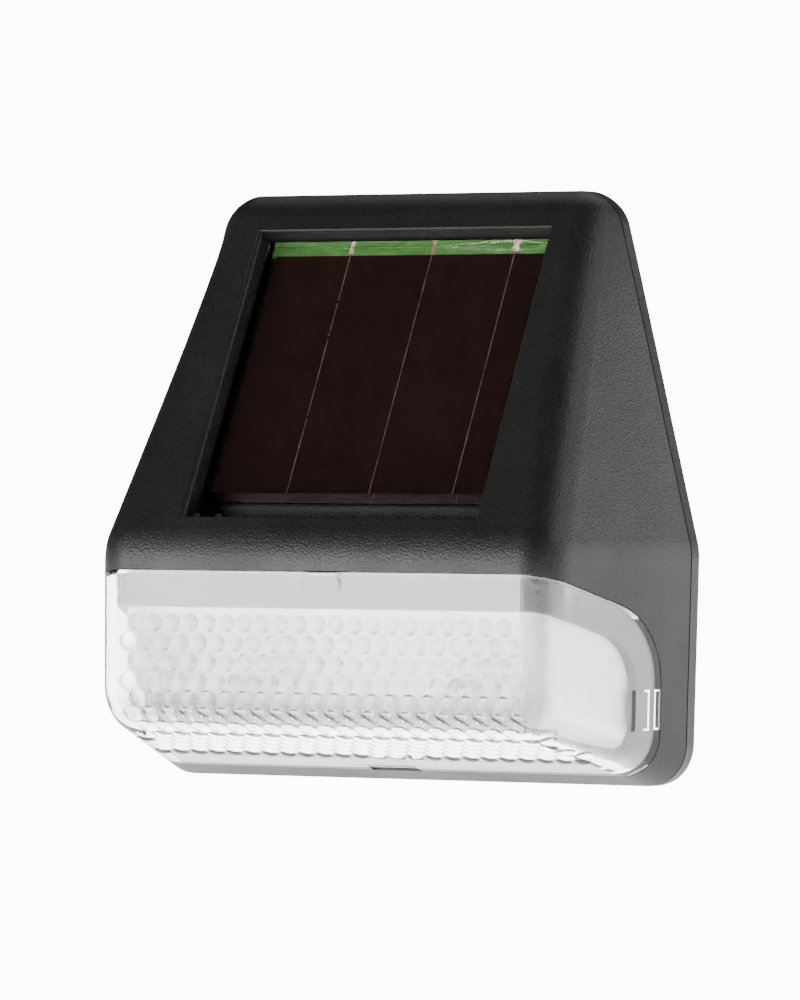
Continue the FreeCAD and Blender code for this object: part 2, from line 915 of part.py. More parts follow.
def circuit_board():
    """Board behind the reflector, with holes for the lamp legs and its screws."""
    board = block(-board_half_width, board_half_width, board_back(), board_front(),
                  board_low, board_high)
    tools = []
    for side in (-1, 1):
        for leg in (-1, 1):
            tools.append(rod(side * led_x + leg * led_leg_spacing / 2, board_back() - 1,
                             board_front() + 1, led_height, led_leg_width * 0.8))
        tools.append(rod(side * board_screw_x, board_back() - 1, board_front() + 1,
                         board_screw_height, board_screw_radius + slip_gap * 3))
    return board.cut(Part.Compound(tools))


def led(side):
    """Round lamp with a flange and a domed tip."""
    x = side * led_x
    seat = led_seat_depth()
    base = seat - led_flange_thickness
    straight = led_length - led_radius
    flange = rod(x, base, seat, led_height, led_flange_radius)
    barrel = rod(x, base, base + straight, led_height, led_radius)
    dome = Part.makeSphere(led_radius, at(x, base + straight, led_height))
    return join([flange, barrel, dome])


def led_legs():
    """Four square wire legs from the two lamps through the board."""
    legs = []
    base = led_seat_depth() - led_flange_thickness
    half = led_leg_width / 2
    for side in (-1, 1):
        for leg in (-1, 1):
            x = side * led_x + leg * led_leg_spacing / 2
            legs.append(block(x - half, x + half, board_back() - leg_tail, base,
                              led_height - half, led_height + half))
    return Part.Compound(legs)


def board_screws():
    """Two small screws that hold the board to the reflector's posts."""
    screws = []
    for side in (-1, 1):
        x = side * board_screw_x
        seat = board_back()
        head = rod(x, seat - board_screw_head_height, seat, board_screw_height,
                   board_screw_head_radius)
        shank = rod(x, seat, seat + board_screw_length, board_screw_height,
                    board_screw_radius - slip_gap)
        screws.append(join([head, shank]))
    return Part.Compound(screws)


def controller_chip():
    """Four-legged driver chip standing off the rear of the board."""
    seat = board_back()
    body = block(-2.4, 2.4, seat - 2.2, seat - 0.6, 12.6, 16.2)
    legs = [block(x - 0.22, x + 0.22, seat - 0.8, seat, 12.9, 13.4)
            for x in (-1.9, -0.63, 0.63, 1.9)]
    return join([body] + legs)


def inductor():
    """Drum choke on the rear of the board."""
    seat = board_back()
    x = -12.2
    height = 14.6
    low = rod(x, seat - 0.8, seat, height, 2.6)
    core = rod(x, seat - 2.7, seat - 0.7, height, 1.7)
    high = rod(x, seat - 3.5, seat - 2.7, height, 2.6)
    return join([low, core, high])


def capacitor():
    """Small can capacitor on the rear of the board."""
    seat = board_back()
    can = rod(11.6, seat - 3.6, seat, 14.8, 2.0)
    edge = [e for e in can.Edges if e.Curve.TypeId == "Part::GeomCircle"]
    rim = min(edge, key=lambda e: -e.CenterOfMass.y)
    return can.makeFillet(0.4, [rim])


def resistor():
    """Flat resistor chip on the rear of the board."""
    seat = board_back()
    return block(5.0, 8.2, seat - 0.6, seat, 13.4, 15.0)


# ---------------------------------------------------------------- battery and holder

def battery_depth():
    """Depth of the battery's axis."""
    return cover_thickness + holder_wall + holder_gap + battery_radius


def battery_cell():
    """Single rechargeable cell lying level across the cover."""
    half = battery_length / 2
    start = at(-half, battery_depth(), battery_height)
    can = Part.makeCylinder(battery_radius, battery_length - battery_tip_length, start,
                            V(1, 0, 0))
    rims = [e for e in can.Edges if e.Curve.TypeId == "Part::GeomCircle"]
    can = can.makeFillet(0.6, rims)
    tip = Part.makeCylinder(battery_tip_radius, battery_tip_length + 0.5,
                            at(half - battery_tip_length - 0.5, battery_depth(),
                               battery_height), V(1, 0, 0))
    return join([can, tip])


def battery_holder():
    """Open tray that is fixed to the inside of the cover."""
    inner = battery_length / 2 + holder_end_room
    outer = inner + holder_wall
    tall = battery_radius + holder_gap
    low = battery_height - tall - holder_wall
    high = battery_height + tall + holder_wall
    far = battery_depth() + battery_radius * 0.6
    tray = block(-outer, outer, cover_thickness, far, low, high)
    room = block(-inner, inner, cover_thickness + holder_wall, far + 1,
                 battery_height - tall, battery_height + tall)
    thumb = block(-inner * 0.55, inner * 0.55, battery_depth(), far + 1, low - 1, high + 1)
    return tray.cut(room).cut(thumb)


def battery_contact(side):
    """Bowed spring strip between the battery's end and the holder's end wall."""
    wall = battery_length / 2 + holder_end_room
    end = battery_length / 2
    low = battery_height - contact_width / 2
    depth = battery_depth()
    reach = wall - end
    near = cover_thickness + holder_wall
    far = depth + battery_radius * 0.5
    points = [(wall, near), (wall, far), (wall - contact_thickness, far),
              (wall - contact_thickness, depth + contact_bow * 2),
              (end, depth + contact_bow), (end, depth - contact_bow),
              (wall - contact_thickness, depth - contact_bow * 2),
              (wall - contact_thickness, near)]
    wire = rounded_wire([at(side * x, d, low) for x, d in points], [0] * len(points))
    return Part.Face(wire).extrude(V(0, 0, contact_width))


# ---------------------------------------------------------------- power switch

def switch_body():
    """Sealed slide switch behind the pocket's floor, with a channel for its slider."""
    near = switch_pocket_depth + switch_floor
    body = block(switch_x - switch_body_half_width, switch_x + switch_body_half_width,
                 near, near + switch_body_depth, switch_height - switch_body_half_height,
                 switch_height + switch_body_half_height)
    half = slider_base_half_width + switch_travel / 2 + fit_gap / 2
    channel = block(switch_x - half, switch_x + half, near - 1,
                    near + slider_base_depth + fit_gap,
                    switch_height - slider_base_half_height - slip_gap,
                    switch_height + slider_base_half_height + slip_gap)
    return body.cut(channel)


def switch_slider():
    """Slider at its off end, recessed below the back of the cover."""
    near = switch_pocket_depth + switch_floor
    x = switch_x - switch_travel / 2
    base = block(x - slider_base_half_width, x + slider_base_half_width, near + fit_gap / 2,
                 near + slider_base_depth, switch_height - slider_base_half_height,
                 switch_height + slider_base_half_height)
    tip = near - slider_reach
    knob = block(x - slider_half_width, x + slider_half_width, tip, near + slider_base_depth,
                 switch_height - slider_half_height, switch_height + slider_half_height)
    slider = join([base, knob])
    grooves = []
    pitch = 2 * slider_half_width / (slider_grip_grooves + 1)
    for index in range(slider_grip_grooves):
        middle = x - slider_half_width + (index + 1) * pitch
        grooves.append(block(middle - slider_grip_width / 2, middle + slider_grip_width / 2,
                             tip - 1, tip + slider_grip_depth,
                             switch_height - slider_half_height - 1,
                             switch_height + slider_half_height + 1))
    return slider.cut(Part.Compound(grooves))


def switch_pins():
    """Three flat terminals on the front of the switch body."""
    near = switch_pocket_depth + switch_floor + switch_body_depth
    pins = []
    for index in (-1, 0, 1):
        x = switch_x + index * pin_pitch
        pins.append(block(x - pin_half_width, x + pin_half_width, near, near + pin_length,
                          switch_height - pin_half_width, switch_height + pin_half_width))
    return Part.Compound(pins)


# ---------------------------------------------------------------- wires

def wire_along(points):
    """Round wire along straight runs joined by tangent arcs."""
    edges = []
    last = points[0]
    for index in range(1, len(points) - 1):
        corner = points[index]
        back = points[index - 1] - corner
        ahead = points[index + 1] - corner
        half = back.getAngle(ahead) / 2
        reach = 0.45 * min(back.Length, ahead.Length)
        radius = reach * math.tan(half)
        back = V(back).normalize()
        ahead = V(ahead).normalize()
        start = corner + back * reach
        end = corner + ahead * reach
        middle_line = (back + ahead).normalize()
        centre = corner + middle_line * (radius / math.sin(half))
        edges.append(Part.LineSegment(last, start).toShape())
        edges.append(Part.Arc(start, centre - middle_line * radius, end).toShape())
        last = end
    edges.append(Part.LineSegment(last, points[-1]).toShape())
    path = Part.Wire(edges)
    first = (points[1] - points[0]).normalize()
    ring = Part.Wire([Part.Circle(points[0], first, wire_radius).toShape()])
    return path.makePipeShell([ring], True, False)


def holder_end():
    """Distance from the middle to the outside of the battery holder's end."""
    return battery_length / 2 + holder_end_room + holder_wall


def board_solder(x):
    """Last two points of a wire that ends on the rear of the board."""
    height = board_high - board_edge_room
    return [at(x, board_back() - wire_bend, height), at(x, board_back(), height)]


def panel_wire(side):
    """Wire from one solder joint of the panel, round the keyhole pocket, to the board."""
    start = panel_sink + glass_thickness + film_thickness + backing_thickness + solder_height
    run_x = side * (holder_end() + wire_room)
    run_depth = cover_thickness + wire_room + wire_radius * 2
    pocket_side = side * (keyhole_x + pocket_radius + pocket_wall + wire_room)
    pocket_top = keyhole_height + keyhole_slot_rise + pocket_radius + pocket_wall
    holder_low = battery_height - battery_radius - holder_gap - holder_wall
    points = [slope_point(side * solder_x, solder_up, start),
              slope_point(side * solder_x, solder_up, start + wire_bend),
              at(pocket_side, run_depth, pocket_top), at(run_x, run_depth, keyhole_height),
              at(run_x, run_depth, holder_low - wire_radius),
              at(pocket_side - side * wire_room, run_depth, holder_low - wire_room * 2)]
    return wire_along(points + board_solder(side * (led_x + wire_room * 1.5)))


def battery_wire_black():
    """Wire from the battery's negative contact to the board."""
    x = -holder_end()
    depth = battery_depth()
    above = board_high + wire_room
    points = [at(x, depth, battery_height), at(x - wire_bend, depth, battery_height),
              at(x - wire_bend, depth, battery_height - battery_radius),
              at(x + wire_room, depth - wire_radius, above + wire_room * 2),
              at(-wire_x - wire_room / 2, board_front(), above + wire_room / 2),
              at(-wire_x, board_back() - wire_bend, above)]
    return wire_along(points + board_solder(-wire_x))


def pin_end():
    """Depth of the free end of the switch's terminals."""
    return switch_pocket_depth + switch_floor + switch_body_depth + pin_length


def battery_wire_red():
    """Wire from the battery's positive contact to the switch."""
    x = holder_end()
    depth = battery_depth()
    pin_x = switch_x + pin_pitch
    points = [at(x, depth, battery_height), at(x + wire_bend, depth, battery_height),
              at(pin_x, depth + wire_radius, battery_height - battery_radius),
              at(pin_x, pin_end() + wire_bend, switch_height + wire_bend),
              at(pin_x, pin_end() + wire_bend, switch_height),
              at(pin_x, pin_end(), switch_height)]
    return wire_along(points)


def switch_wire():
    """Wire from the switch to the board."""
    above = board_high + wire_room
    points = [at(switch_x, pin_end(), switch_height),
              at(switch_x, pin_end() + wire_bend, switch_height),
              at(switch_x - wire_bend, pin_end() + wire_room, switch_height + wire_bend),
              at(led_x + wire_bend * 2, board_front() + wire_room, above + wire_room * 2),
              at(wire_x + wire_room / 2, board_front() - wire_room, above + wire_room / 2),
              at(wire_x, board_back() - wire_bend, above)]
    return wire_along(points + board_solder(wire_x))


# ---------------------------------------------------------------- all pieces

def pieces():
    """Every node of the light by name."""
    return {
        "housing": housing(),
        "back_cover": back_cover(),
        "cover_seal": cover_seal(),
        "cover_screws": cover_screws(),
        "lens": lens(),
        "reflector": reflector(),
        "solar_glass": solar_glass(),
        "solar_cells": solar_cells(),
        "cell_scribes": cell_scribes(),
        "panel_backing": panel_backing(),
        "panel_pad": panel_pad(),
        "panel_sealant": panel_sealant(),
        "panel_solder": panel_solder(),
        "circuit_board": circuit_board(),
        "led_left": led(-1),
        "led_right": led(1),
        "led_legs": led_legs(),
        "board_screws": board_screws(),
        "controller_chip": controller_chip(),
        "inductor": inductor(),
        "capacitor": capacitor(),
        "resistor": resistor(),
        "battery_cell": battery_cell(),
        "battery_holder": battery_holder(),
        "battery_contact_plus": battery_contact(1),
        "battery_contact_minus": battery_contact(-1),
        "switch_body": switch_body(),
        "switch_slider": switch_slider(),
        "switch_pins": switch_pins(),
        "panel_wire_red": panel_wire(1),
        "panel_wire_black": panel_wire(-1),
        "battery_wire_red": battery_wire_red(),
        "battery_wire_black": battery_wire_black(),
        "switch_wire": switch_wire(),
    }


def main():
    """Builds every piece and writes one STEP file for each."""
    os.makedirs("parts", exist_ok=True)
    for name, shape in pieces().items():
        shape.exportStep(f"parts/{name}.step")
        volumes = [round(solid.Volume, 1) for solid in shape.Solids]
        print(f"{name:22s} solids {len(shape.Solids)} valid {shape.isValid()} {volumes}")


main()
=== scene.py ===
# Studio scene of a solar fence light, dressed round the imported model.

import logging
import math
from dataclasses import dataclass, field
from enum import Enum

import bmesh
import bpy
from mathutils import Matrix, Vector


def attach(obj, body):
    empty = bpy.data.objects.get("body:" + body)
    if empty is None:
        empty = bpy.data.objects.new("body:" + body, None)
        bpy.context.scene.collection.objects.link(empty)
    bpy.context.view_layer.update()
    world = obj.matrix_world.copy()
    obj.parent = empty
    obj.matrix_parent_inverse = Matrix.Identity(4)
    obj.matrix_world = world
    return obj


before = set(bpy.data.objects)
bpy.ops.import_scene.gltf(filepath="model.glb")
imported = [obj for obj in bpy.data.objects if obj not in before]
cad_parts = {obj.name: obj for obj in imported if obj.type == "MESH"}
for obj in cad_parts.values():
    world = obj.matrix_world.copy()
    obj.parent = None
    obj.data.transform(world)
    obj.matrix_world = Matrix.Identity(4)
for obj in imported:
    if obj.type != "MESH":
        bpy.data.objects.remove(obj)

Colour = tuple[float, float, float]
LOG = logging.getLogger("fence_light")
MM = 0.001
PLAIN_SPAN = (0.3, 0.7)


def map_range(tree: bpy.types.NodeTree, source: bpy.types.NodeSocket, start: float, end: float,
              low: float, high: float) -> bpy.types.NodeSocket:
    """Maps the range start to end of a value onto low to high.

    Args:
        tree: Node tree that gets the node.
        source: The value.
        start: Lower end of the value's used range.
        end: Upper end of the value's used range.
        low: Result at start.
        high: Result at end.

    Returns:
        The mapped value.
    """
    node = tree.nodes.new("ShaderNodeMapRange")
    for name, value in (("From Min", start), ("From Max", end),
                        ("To Min", low), ("To Max", high)):
        node.inputs[name].default_value = value
    tree.links.new(source, node.inputs["Value"])
    return node.outputs["Result"]


def dot(tree: bpy.types.NodeTree, source: bpy.types.NodeSocket, direction: Colour
        ) -> bpy.types.NodeSocket:
    """Share of a vector output along a fixed direction.

    Args:
        tree: Node tree that gets the node.
        source: The vector output.
        direction: The direction, of length one.

    Returns:
        The share.
    """
    node = tree.nodes.new("ShaderNodeVectorMath")
    node.operation = "DOT_PRODUCT"
    tree.links.new(source, node.inputs[0])
    node.inputs[1].default_value = direction
    return node.outputs["Value"]


def product(tree: bpy.types.NodeTree, first: bpy.types.NodeSocket, second: bpy.types.NodeSocket
            ) -> bpy.types.NodeSocket:
    """Product of two values.

    Args:
        tree: Node tree that gets the node.
        first: First value.
        second: Second value.

    Returns:
        The product.
    """
    node = tree.nodes.new("ShaderNodeMath")
    node.operation = "MULTIPLY"
    tree.links.new(first, node.inputs[0])
    tree.links.new(second, node.inputs[1])
    return node.outputs["Value"]


def by_ray(tree: bpy.types.NodeTree, seen: float, through: float | bpy.types.NodeSocket,
           other: float) -> bpy.types.NodeSocket:
    """A strength that depends on how it is looked at.

    Args:
        tree: Node tree that gets the nodes.
        seen: Strength for rays straight from the camera.
        through: Strength for rays that come through something clear.
        other: Strength for reflections and for the light that is cast.

    Returns:
        The strength output.
    """
    path = tree.nodes.new("ShaderNodeLightPath")
    result = other
    for kind, strength in (("Is Transmission Ray", through), ("Is Camera Ray", seen)):
        choice = tree.nodes.new("ShaderNodeMix")
        tree.links.new(path.outputs[kind], choice.inputs[0])
        for socket, value in ((choice.inputs[2], result), (choice.inputs[3], strength)):
            if isinstance(value, float):
                socket.default_value = value
            else:
                tree.links.new(value, socket)
        result = choice.outputs[0]
    return result


class Shader:
    """A material with one main surface shader, and the nodes that vary it."""

    def __init__(self, name: str) -> None:
        """Starts an empty material.

        Args:
            name: Name of the material.
        """
        self.material = bpy.data.materials.new(name)
        self.material.use_nodes = True
        self.tree = self.material.node_tree
        self.surface = self.tree.nodes["Principled BSDF"]
        self._place = self.tree.nodes.new("ShaderNodeTexCoord").outputs["Object"]

    def set(self, **values: float | tuple) -> None:
        """Sets sockets of the surface shader; underscores stand for spaces."""
        for name, value in values.items():
            self.surface.inputs[name.replace("_", " ")].default_value = value

    def link(self, source: bpy.types.NodeSocket, name: str) -> None:
        """Joins an output to a named socket of the surface shader."""
        self.tree.links.new(source, self.surface.inputs[name])

    def stretched(self, scale: Colour, turn: Colour = (0.0, 0.0, 0.0)) -> bpy.types.NodeSocket:
        """Object coordinates that are scaled and turned.

        Args:
            scale: Factor along each axis.
            turn: Rotation about each axis, in radians.

        Returns:
            The vector output.
        """
        node = self.tree.nodes.new("ShaderNodeMapping")
        node.inputs["Scale"].default_value = scale
        node.inputs["Rotation"].default_value = turn
        self.tree.links.new(self._place, node.inputs["Vector"])
        return node.outputs["Vector"]

    def noise(self, scale: float, detail: float = 3.0, rough: float = 0.55,
              place: bpy.types.NodeSocket | None = None) -> bpy.types.NodeSocket:
        """Cloudy noise.

        Args:
            scale: Features per metre.
            detail: Number of finer layers.
            rough: Strength of the finer layers.
            place: Coordinates, or None for plain object coordinates.

        Returns:
            The factor output.
        """
        node = self.tree.nodes.new("ShaderNodeTexNoise")
        node.inputs["Scale"].default_value = scale
        node.inputs["Detail"].default_value = detail
        node.inputs["Roughness"].default_value = rough
        self.tree.links.new(place or self._place, node.inputs["Vector"])
        return node.outputs["Fac"]

    def grains(self, scale: float, place: bpy.types.NodeSocket | None = None
               ) -> bpy.types.NodeSocket:
        """Small rounded cells.

        Args:
            scale: Cells per metre.
            place: Coordinates, or None for plain object coordinates.

        Returns:
            Distance from each cell's middle.
        """
        node = self.tree.nodes.new("ShaderNodeTexVoronoi")
        node.inputs["Scale"].default_value = scale
        self.tree.links.new(place or self._place, node.inputs["Vector"])
        return node.outputs["Distance"]

    def bands(self, scale: float, direction: str, distortion: float = 0.0
              ) -> bpy.types.NodeSocket:
        """Straight bands across one axis.

        Args:
            scale: Bands per metre, roughly.
            direction: "X", "Y" or "Z".
            distortion: How far the bands waver.

        Returns:
            The factor output.
        """
        node = self.tree.nodes.new("ShaderNodeTexWave")
        node.bands_direction = direction
        node.inputs["Scale"].default_value = scale
        node.inputs["Distortion"].default_value = distortion
        self.tree.links.new(self._place, node.inputs["Vector"])
        return node.outputs["Fac"]

    def ramp(self, source: bpy.types.NodeSocket,
             stops: list[tuple[float, Colour]]) -> bpy.types.NodeSocket:
        """Colours a factor.

        Args:
            source: The factor.
            stops: Position and colour of each stop.

        Returns:
            The colour output.
        """
        node = self.tree.nodes.new("ShaderNodeValToRGB")
        elements = node.color_ramp.elements
        while len(elements) < len(stops):
            elements.new(0.5)
        for element, (position, colour) in zip(elements, stops):
            element.position = position
            element.color = (*colour, 1.0)
        self.tree.links.new(source, node.inputs["Fac"])
        return node.outputs["Color"]

    def span(self, source: bpy.types.NodeSocket, low: float, high: float,
             start: float = PLAIN_SPAN[0], end: float = PLAIN_SPAN[1]
             ) -> bpy.types.NodeSocket:
        """Maps the range start to end of a factor onto low to high.

        Args:
            source: The factor.
            low: Result at start.
            high: Result at end.
            start: Lower end of the factor's used range.
            end: Upper end of the factor's used range.

        Returns:
            The mapped value.
        """
        return map_range(self.tree, source, start, end, low, high)

    def blend(self, factor: bpy.types.NodeSocket, first: bpy.types.NodeSocket,
              second: bpy.types.NodeSocket) -> bpy.types.NodeSocket:
        """Mixes two colours.

        Args:
            factor: 0 for the first, 1 for the second.
            first: First colour.
            second: Second colour.

        Returns:
            The mixed colour.
        """
        node = self.tree.nodes.new("ShaderNodeMix")
        node.data_type = "RGBA"
        self.tree.links.new(factor, node.inputs[0])
        self.tree.links.new(first, node.inputs[6])
        self.tree.links.new(second, node.inputs[7])
        return node.outputs[2]

    def along(self, axis: str, low: float, high: float) -> bpy.types.NodeSocket:
        """0 below one place along an axis and 1 above another.

        Args:
            axis: "X", "Y" or "Z".
            low: Lower place, in metres.
            high: Upper place, in metres.

        Returns:
            The factor output.
        """
        parts = self.tree.nodes.new("ShaderNodeSeparateXYZ")
        self.tree.links.new(self._place, parts.inputs[0])
        return self.span(parts.outputs[axis], 0.0, 1.0, low, high)

    def towards(self, direction: Colour, start: float, end: float) -> bpy.types.NodeSocket:
        """How far the surface turns towards a direction of the piece itself.

        Args:
            direction: The direction, of length one.
            start: Share that counts as 0.
            end: Share that counts as 1.

        Returns:
            The factor output.
        """
        normal = self.tree.nodes.new("ShaderNodeTexCoord").outputs["Normal"]
        return self.span(dot(self.tree, normal, direction), 0.0, 1.0, start, end)

    def bump(self, heights: list[tuple[bpy.types.NodeSocket, float]]) -> None:
        """Raises the surface by one or more height patterns.

        Args:
            heights: Each pattern with its depth in metres.
        """
        previous = None
        for height, depth in heights:
            node = self.tree.nodes.new("ShaderNodeBump")
            node.inputs["Strength"].default_value = 1.0
            node.inputs["Distance"].default_value = depth
            self.tree.links.new(height, node.inputs["Height"])
            if previous is not None:
                self.tree.links.new(previous, node.inputs["Normal"])
            previous = node.outputs["Normal"]
        self.link(previous, "Normal")


@dataclass(frozen=True)
class SparkedPlastic:
    """Black plastic with the fine spark-eroded grain of its mould."""

    name: str
    dark: Colour = (0.0025, 0.0025, 0.0026)
    light: Colour = (0.0150, 0.0146, 0.0142)
    grain: float = 3600.0
    depth: float = 0.00006
    rough_low: float = 0.34
    rough_high: float = 0.46

    def build(self) -> bpy.types.Material:
        """Makes the material."""
        shader = Shader(self.name)
        grain = shader.noise(self.grain, 2.0, 0.6)
        cells = shader.grains(self.grain * 0.8)
        clouds = shader.noise(60.0, 4.0, 0.6)
        shader.link(shader.ramp(grain, [(0.35, self.dark), (0.72, self.light)]), "Base Color")
        shader.link(shader.span(clouds, self.rough_low, self.rough_high), "Roughness")
        shader.set(Specular_IOR_Level=0.5)
        shader.bump([(clouds, self.depth * 0.6), (grain, self.depth), (cells, self.depth * 0.4)])
        return shader.material


@dataclass(frozen=True)
class ClearMoulding:
    """Clear moulded plastic or glass with faint flow marks."""

    name: str
    tint: Colour = (1.0, 1.0, 1.0)
    ior: float = 1.49
    rough_low: float = 0.01
    rough_high: float = 0.05
    flow_depth: float = 0.00002

    def build(self) -> bpy.types.Material:
        """Makes the material."""
        shader = Shader(self.name)
        flow = shader.noise(90.0, 2.0, 0.5, shader.stretched((1.0, 1.0, 0.4)))
        shader.set(Base_Color=(*self.tint, 1.0), Transmission_Weight=1.0, IOR=self.ior)
        shader.link(shader.span(flow, self.rough_low, self.rough_high), "Roughness")
        shader.bump([(flow, self.flow_depth)])
        return shader.material


@dataclass(frozen=True)
class BumpedLens:
    """Clear moulded cap with round bumps, and a soft painted shade tinted grey into the lower
    right sides of the bumps.
    """

    name: str
    clear: Colour = (1.0, 1.0, 1.0)
    # Grey of the painted shade on the bumps.
    shade: Colour = (0.48, 0.49, 0.48)
    ior: float = 1.49
    painted_shade_direction: Colour = (0.64, 0.0, -0.77)
    front: Colour = (0.0, -1.0, 0.0)

    def build(self) -> bpy.types.Material:
        """Makes the material."""
        shader = Shader(self.name)
        flow = shader.noise(90.0, 2.0, 0.5, shader.stretched((1.0, 1.0, 0.4)))
        # Painted shade: the base colour turns grey where the surface's own normal leans to the
        # lower right, on the front bumps off the flat face.
        painted_shade_side = shader.towards(self.painted_shade_direction, -0.12, 0.36)
        face = shader.towards(self.front, 0.62, 0.80)
        edge = shader.towards(self.front, 0.999, 0.990)
        painted_shade_amount = product(shader.tree, product(shader.tree, painted_shade_side, face), edge)
        clear = shader.ramp(flow, [(0.3, self.clear), (0.7, self.clear)])
        shade = shader.ramp(flow, [(0.3, self.shade), (0.7, self.shade)])
        shader.link(shader.blend(painted_shade_amount, clear, shade), "Base Color")
        shader.set(Transmission_Weight=1.0, IOR=self.ior)
        shader.link(shader.span(flow, 0.01, 0.05), "Roughness")
        shader.bump([(flow, 0.00002)])
        return shader.material


@dataclass(frozen=True)
class LampEpoxy:
    """Milky clear epoxy of a lamp, with its yellow core behind the dome."""

    name: str
    core_depth: float
    core_fade: float = 0.001

    def build(self) -> bpy.types.Material:
        """Makes the material."""
        shader = Shader(self.name)
        swirl = shader.noise(600.0, 3.0, 0.5)
        clear = shader.ramp(swirl, [(0.3, (0.97, 0.97, 0.94)), (0.7, (0.99, 0.99, 0.96))])
        core = shader.ramp(swirl, [(0.3, (0.95, 0.88, 0.55)), (0.7, (0.98, 0.93, 0.66))])
        behind = shader.along("Y", -self.core_depth - self.core_fade, -self.core_depth)
        shader.link(shader.blend(behind, clear, core), "Base Color")
        shader.set(Transmission_Weight=0.35, IOR=1.36)
        shader.link(shader.span(swirl, 0.2, 0.3), "Roughness")
        shader.bump([(swirl, 0.00001)])
        return shader.material


@dataclass(frozen=True)
class SatinPlastic:
    """Plain moulded plastic, paint or rubber with soft variation."""

    name: str
    dark: Colour
    light: Colour
    rough: float = 0.45
    grain: float = 900.0
    depth: float = 0.00002
    soft: float = 0.0

    def build(self) -> bpy.types.Material:
        """Makes the material."""
        shader = Shader(self.name)
        clouds = shader.noise(140.0, 4.0, 0.6)
        grain = shader.noise(self.grain, 3.0, 0.6)
        shader.link(shader.ramp(clouds, [(0.3, self.dark), (0.7, self.light)]), "Base Color")
        shader.link(shader.span(grain, self.rough * 0.85, self.rough * 1.15), "Roughness")
        shader.set(Subsurface_Weight=self.soft, Subsurface_Radius=(0.002, 0.002, 0.002))
        shader.bump([(grain, self.depth)])
        return shader.material


@dataclass(frozen=True)
class PlatedMetal:
    """Plated or drawn metal with fine streaks."""

    name: str
    dark: Colour = (0.42, 0.42, 0.42)
    light: Colour = (0.66, 0.65, 0.63)
    rough: float = 0.3

    def build(self) -> bpy.types.Material:
        """Makes the material."""
        shader = Shader(self.name)
        streaks = shader.noise(700.0, 3.0, 0.6, shader.stretched((1.0, 6.0, 1.0)))
        clouds = shader.noise(500.0, 3.0, 0.5)
        shader.link(shader.ramp(clouds, [(0.3, self.dark), (0.7, self.light)]), "Base Color")
        shader.link(shader.span(streaks, self.rough * 0.7, self.rough * 1.4), "Roughness")
        shader.set(Metallic=1.0)
        shader.bump([(streaks, 0.000008)])
        return shader.material


@dataclass(frozen=True)
class PanelFilm:
    """Dark red-black film with faint cloudy colour."""

    name: str

    def build(self) -> bpy.types.Material:
        """Makes the material."""
        shader = Shader(self.name)
        clouds = shader.noise(45.0, 5.0, 0.6)
        fine = shader.noise(2400.0, 2.0, 0.5)
        wide = shader.ramp(clouds, [(0.25, (0.0120, 0.0046, 0.0044)),
                                    (0.75, (0.0190, 0.0070, 0.0066))])
        speck = shader.ramp(fine, [(0.30, (0.0130, 0.0052, 0.0050)),
                                   (0.80, (0.0200, 0.0080, 0.0076))])
        shader.link(shader.blend(shader.span(fine, 0.2, 0.6), wide, speck), "Base Color")
        shader.link(shader.span(clouds, 0.32, 0.45), "Roughness")
        shader.set(Specular_IOR_Level=0.0)
        shader.bump([(fine, 0.000004)])
        return shader.material


@dataclass(frozen=True)
class BackingPaint:
    """Black paint behind the film, with a green margin above a height in metres."""

    name: str
    edge: float
    soft: float = 0.00005

    def build(self) -> bpy.types.Material:
        """Makes the material."""
        shader = Shader(self.name)
        clouds = shader.noise(400.0, 4.0, 0.6, shader.stretched((1.0, 4.0, 4.0)))
        green = shader.ramp(clouds, [(0.35, (0.060, 0.170, 0.040)), (0.65, (0.100, 0.240, 0.062))])
        black = shader.ramp(clouds, [(0.35, (0.0020, 0.0018, 0.0018)),
                                     (0.65, (0.0032, 0.0028, 0.0028))])
        margin = shader.along("Z", self.edge - self.soft, self.edge + self.soft)
        shader.link(shader.blend(margin, black, green), "Base Color")
        shader.link(shader.span(clouds, 0.35, 0.5), "Roughness")
        shader.set(Specular_IOR_Level=0.0)
        shader.bump([(clouds, 0.00001)])
        return shader.material


@dataclass(frozen=True)
class CircuitMask:
    """Green board coating with raised copper tracks under it."""

    name: str

    def build(self) -> bpy.types.Material:
        """Makes the material."""
        shader = Shader(self.name)
        tracks = shader.bands(280.0, "Z", 6.0)
        fine = shader.noise(1800.0, 3.0, 0.6)
        shader.link(shader.ramp(tracks, [(0.52, (0.010, 0.075, 0.030)),
                                         (0.60, (0.030, 0.155, 0.065))]), "Base Color")
        shader.link(shader.span(fine, 0.22, 0.40), "Roughness")
        shader.bump([(tracks, 0.00004), (fine, 0.000006)])
        return shader.material


@dataclass(frozen=True)
class Insulation:
    """Soft plastic sleeve of a wire, with the faint twist of its strands."""

    name: str
    dark: Colour
    light: Colour

    def build(self) -> bpy.types.Material:
        """Makes the material."""
        shader = Shader(self.name)
        twist = shader.bands(900.0, "Z", 2.0)
        clouds = shader.noise(300.0, 3.0, 0.5)
        shader.link(shader.ramp(clouds, [(0.3, self.dark), (0.7, self.light)]), "Base Color")
        shader.link(shader.span(clouds, 0.35, 0.5), "Roughness")
        shader.bump([(twist, 0.00001)])
        return shader.material


@dataclass(frozen=True)
class GlowingFloor:
    """Pale matt floor that glows softly, so that it meets the backdrop without a line."""

    name: str
    seen: float = 12.0
    through: float = 6.5
    cast: float = 2.2

    def build(self) -> bpy.types.Material:
        """Makes the material."""
        shader = Shader(self.name)
        clouds = shader.noise(3.0, 4.0, 0.6)
        shader.link(shader.ramp(clouds, [(0.3, (0.90, 0.90, 0.90)),
                                         (0.7, (0.94, 0.94, 0.94))]), "Base Color")
        shader.link(shader.span(clouds, 0.75, 0.85), "Roughness")
        shader.set(Emission_Color=(1.0, 1.0, 1.0, 1.0))
        shader.link(by_ray(shader.tree, self.seen, self.through, self.cast),
                    "Emission Strength")
        return shader.material


